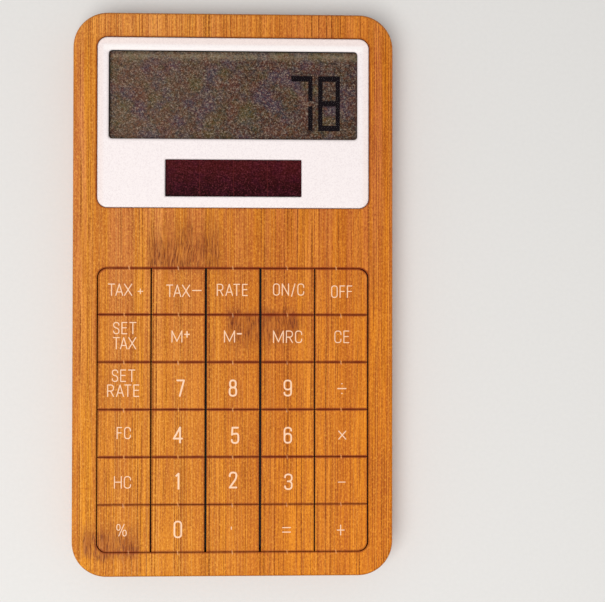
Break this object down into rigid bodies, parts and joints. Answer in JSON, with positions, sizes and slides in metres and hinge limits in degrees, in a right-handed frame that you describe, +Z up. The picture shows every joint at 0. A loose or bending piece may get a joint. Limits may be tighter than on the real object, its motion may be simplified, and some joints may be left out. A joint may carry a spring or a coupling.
{
  "type": "desk calculator",
  "caption": "Flat bamboo pocket calculator with a white display bezel, an LCD, a solar cell and a flush grid of square bamboo keys that press down on rubber domes.",
  "frame": {"origin": "under the middle of the body, on the surface that the feet stand on", "axes": "+Z up out of the key face, +Y along the body towards the display, +X to the right of the keys"},
  "size_m": [0.1, 0.176, 0.013],
  "materials": {
    "bamboo": "oiled, satin",
    "white_plastic": "fine spark texture",
    "clear_plastic": "clear, glossy",
    "lcd_glass": "grey polariser",
    "reflector_foil": "satin",
    "black_plastic": "moulded",
    "grey_rubber": "matt",
    "solar_glass": "dark red film behind glass",
    "silicone": "matt",
    "green_board": "solder mask",
    "black_epoxy": "glossy drop",
    "capacitor_sleeve": "shrink sleeve",
    "red_wire": "insulation",
    "black_wire": "insulation",
    "cell_steel": "plated",
    "nickel": "plated strip",
    "screw_steel": "zinc plated",
    "black_rubber": "matt"
  },
  "bodies": {
    "case": {"front_shell": "bamboo", "back_cover": "bamboo", "battery_door": "bamboo", "display_bezel": "white_plastic", "display_window": "clear_plastic", "lcd_panel": "lcd_glass", "lcd_reflector": "reflector_foil", "lcd_tray": "black_plastic", "zebra_connector": "grey_rubber", "solar_cell": "solar_glass", "key_frame": "black_plastic", "dome_sheet": "silicone", "circuit_board": "green_board", "controller_chip": "black_epoxy", "capacitor": "capacitor_sleeve", "solar_lead_plus": "red_wire", "solar_lead_minus": "black_wire", "battery_holder": "black_plastic", "button_cell": "cell_steel", "contact_plus": "nickel", "contact_minus": "nickel", "case_screw_1": "screw_steel", "case_screw_2": "screw_steel", "case_screw_3": "screw_steel", "case_screw_4": "screw_steel", "door_screw": "screw_steel", "foot_1": "black_rubber", "foot_2": "black_rubber", "foot_3": "black_rubber", "foot_4": "black_rubber"},
    "key_tax_plus": {"key_tax_plus": "bamboo"},
    "key_tax_minus": {"key_tax_minus": "bamboo"},
    "key_rate": {"key_rate": "bamboo"},
    "key_on_clear": {"key_on_clear": "bamboo"},
    "key_off": {"key_off": "bamboo"},
    "key_set_tax": {"key_set_tax": "bamboo"},
    "key_memory_plus": {"key_memory_plus": "bamboo"},
    "key_memory_minus": {"key_memory_minus": "bamboo"},
    "key_memory_recall": {"key_memory_recall": "bamboo"},
    "key_clear_entry": {"key_clear_entry": "bamboo"},
    "key_set_rate": {"key_set_rate": "bamboo"},
    "key_7": {"key_7": "bamboo"},
    "key_8": {"key_8": "bamboo"},
    "key_9": {"key_9": "bamboo"},
    "key_divide": {"key_divide": "bamboo"},
    "key_foreign_currency": {"key_foreign_currency": "bamboo"},
    "key_4": {"key_4": "bamboo"},
    "key_5": {"key_5": "bamboo"},
    "key_6": {"key_6": "bamboo"},
    "key_multiply": {"key_multiply": "bamboo"},
    "key_home_currency": {"key_home_currency": "bamboo"},
    "key_1": {"key_1": "bamboo"},
    "key_2": {"key_2": "bamboo"},
    "key_3": {"key_3": "bamboo"},
    "key_minus": {"key_minus": "bamboo"},
    "key_percent": {"key_percent": "bamboo"},
    "key_0": {"key_0": "bamboo"},
    "key_decimal": {"key_decimal": "bamboo"},
    "key_equals": {"key_equals": "bamboo"},
    "key_plus": {"key_plus": "bamboo"}
  },
  "joints": [
    {"name": "press_tax_plus", "type": "slide", "parent": "case", "child": "key_tax_plus", "axis": [0, 0, -1], "range_m": [0, 0.001], "stiffness_N_per_m": 500, "springref_m": -0.0003, "deforming": ["dome_sheet"]},
    {"name": "press_tax_minus", "type": "slide", "parent": "case", "child": "key_tax_minus", "axis": [0, 0, -1], "range_m": [0, 0.001], "stiffness_N_per_m": 500, "springref_m": -0.0003, "deforming": ["dome_sheet"]},
    {"name": "press_rate", "type": "slide", "parent": "case", "child": "key_rate", "axis": [0, 0, -1], "range_m": [0, 0.001], "stiffness_N_per_m": 500, "springref_m": -0.0003, "deforming": ["dome_sheet"]},
    {"name": "press_on_clear", "type": "slide", "parent": "case", "child": "key_on_clear", "axis": [0, 0, -1], "range_m": [0, 0.001], "stiffness_N_per_m": 500, "springref_m": -0.0003, "deforming": ["dome_sheet"]},
    {"name": "press_off", "type": "slide", "parent": "case", "child": "key_off", "axis": [0, 0, -1], "range_m": [0, 0.001], "stiffness_N_per_m": 500, "springref_m": -0.0003, "deforming": ["dome_sheet"]},
    {"name": "press_set_tax", "type": "slide", "parent": "case", "child": "key_set_tax", "axis": [0, 0, -1], "range_m": [0, 0.001], "stiffness_N_per_m": 500, "springref_m": -0.0003, "deforming": ["dome_sheet"]},
    {"name": "press_memory_plus", "type": "slide", "parent": "case", "child": "key_memory_plus", "axis": [0, 0, -1], "range_m": [0, 0.001], "stiffness_N_per_m": 500, "springref_m": -0.0003, "deforming": ["dome_sheet"]},
    {"name": "press_memory_minus", "type": "slide", "parent": "case", "child": "key_memory_minus", "axis": [0, 0, -1], "range_m": [0, 0.001], "stiffness_N_per_m": 500, "springref_m": -0.0003, "deforming": ["dome_sheet"]},
    {"name": "press_memory_recall", "type": "slide", "parent": "case", "child": "key_memory_recall", "axis": [0, 0, -1], "range_m": [0, 0.001], "stiffness_N_per_m": 500, "springref_m": -0.0003, "deforming": ["dome_sheet"]},
    {"name": "press_clear_entry", "type": "slide", "parent": "case", "child": "key_clear_entry", "axis": [0, 0, -1], "range_m": [0, 0.001], "stiffness_N_per_m": 500, "springref_m": -0.0003, "deforming": ["dome_sheet"]},
    {"name": "press_set_rate", "type": "slide", "parent": "case", "child": "key_set_rate", "axis": [0, 0, -1], "range_m": [0, 0.001], "stiffness_N_per_m": 500, "springref_m": -0.0003, "deforming": ["dome_sheet"]},
    {"name": "press_7", "type": "slide", "parent": "case", "child": "key_7", "axis": [0, 0, -1], "range_m": [0, 0.001], "stiffness_N_per_m": 500, "springref_m": -0.0003, "deforming": ["dome_sheet"]},
    {"name": "press_8", "type": "slide", "parent": "case", "child": "key_8", "axis": [0, 0, -1], "range_m": [0, 0.001], "stiffness_N_per_m": 500, "springref_m": -0.0003, "deforming": ["dome_sheet"]},
    {"name": "press_9", "type": "slide", "parent": "case", "child": "key_9", "axis": [0, 0, -1], "range_m": [0, 0.001], "stiffness_N_per_m": 500, "springref_m": -0.0003, "deforming": ["dome_sheet"]},
    {"name": "press_divide", "type": "slide", "parent": "case", "child": "key_divide", "axis": [0, 0, -1], "range_m": [0, 0.001], "stiffness_N_per_m": 500, "springref_m": -0.0003, "deforming": ["dome_sheet"]},
    {"name": "press_foreign_currency", "type": "slide", "parent": "case", "child": "key_foreign_currency", "axis": [0, 0, -1], "range_m": [0, 0.001], "stiffness_N_per_m": 500, "springref_m": -0.0003, "deforming": ["dome_sheet"]},
    {"name": "press_4", "type": "slide", "parent": "case", "child": "key_4", "axis": [0, 0, -1], "range_m": [0, 0.001], "stiffness_N_per_m": 500, "springref_m": -0.0003, "deforming": ["dome_sheet"]},
    {"name": "press_5", "type": "slide", "parent": "case", "child": "key_5", "axis": [0, 0, -1], "range_m": [0, 0.001], "stiffness_N_per_m": 500, "springref_m": -0.0003, "deforming": ["dome_sheet"]},
    {"name": "press_6", "type": "slide", "parent": "case", "child": "key_6", "axis": [0, 0, -1], "range_m": [0, 0.001], "stiffness_N_per_m": 500, "springref_m": -0.0003, "deforming": ["dome_sheet"]},
    {"name": "press_multiply", "type": "slide", "parent": "case", "child": "key_multiply", "axis": [0, 0, -1], "range_m": [0, 0.001], "stiffness_N_per_m": 500, "springref_m": -0.0003, "deforming": ["dome_sheet"]},
    {"name": "press_home_currency", "type": "slide", "parent": "case", "child": "key_home_currency", "axis": [0, 0, -1], "range_m": [0, 0.001], "stiffness_N_per_m": 500, "springref_m": -0.0003, "deforming": ["dome_sheet"]},
    {"name": "press_1", "type": "slide", "parent": "case", "child": "key_1", "axis": [0, 0, -1], "range_m": [0, 0.001], "stiffness_N_per_m": 500, "springref_m": -0.0003, "deforming": ["dome_sheet"]},
    {"name": "press_2", "type": "slide", "parent": "case", "child": "key_2", "axis": [0, 0, -1], "range_m": [0, 0.001], "stiffness_N_per_m": 500, "springref_m": -0.0003, "deforming": ["dome_sheet"]},
    {"name": "press_3", "type": "slide", "parent": "case", "child": "key_3", "axis": [0, 0, -1], "range_m": [0, 0.001], "stiffness_N_per_m": 500, "springref_m": -0.0003, "deforming": ["dome_sheet"]},
    {"name": "press_minus", "type": "slide", "parent": "case", "child": "key_minus", "axis": [0, 0, -1], "range_m": [0, 0.001], "stiffness_N_per_m": 500, "springref_m": -0.0003, "deforming": ["dome_sheet"]},
    {"name": "press_percent", "type": "slide", "parent": "case", "child": "key_percent", "axis": [0, 0, -1], "range_m": [0, 0.001], "stiffness_N_per_m": 500, "springref_m": -0.0003, "deforming": ["dome_sheet"]},
    {"name": "press_0", "type": "slide", "parent": "case", "child": "key_0", "axis": [0, 0, -1], "range_m": [0, 0.001], "stiffness_N_per_m": 500, "springref_m": -0.0003, "deforming": ["dome_sheet"]},
    {"name": "press_decimal", "type": "slide", "parent": "case", "child": "key_decimal", "axis": [0, 0, -1], "range_m": [0, 0.001], "stiffness_N_per_m": 500, "springref_m": -0.0003, "deforming": ["dome_sheet"]},
    {"name": "press_equals", "type": "slide", "parent": "case", "child": "key_equals", "axis": [0, 0, -1], "range_m": [0, 0.001], "stiffness_N_per_m": 500, "springref_m": -0.0003, "deforming": ["dome_sheet"]},
    {"name": "press_plus", "type": "slide", "parent": "case", "child": "key_plus", "axis": [0, 0, -1], "range_m": [0, 0.001], "stiffness_N_per_m": 500, "springref_m": -0.0003, "deforming": ["dome_sheet"]}
  ]
}
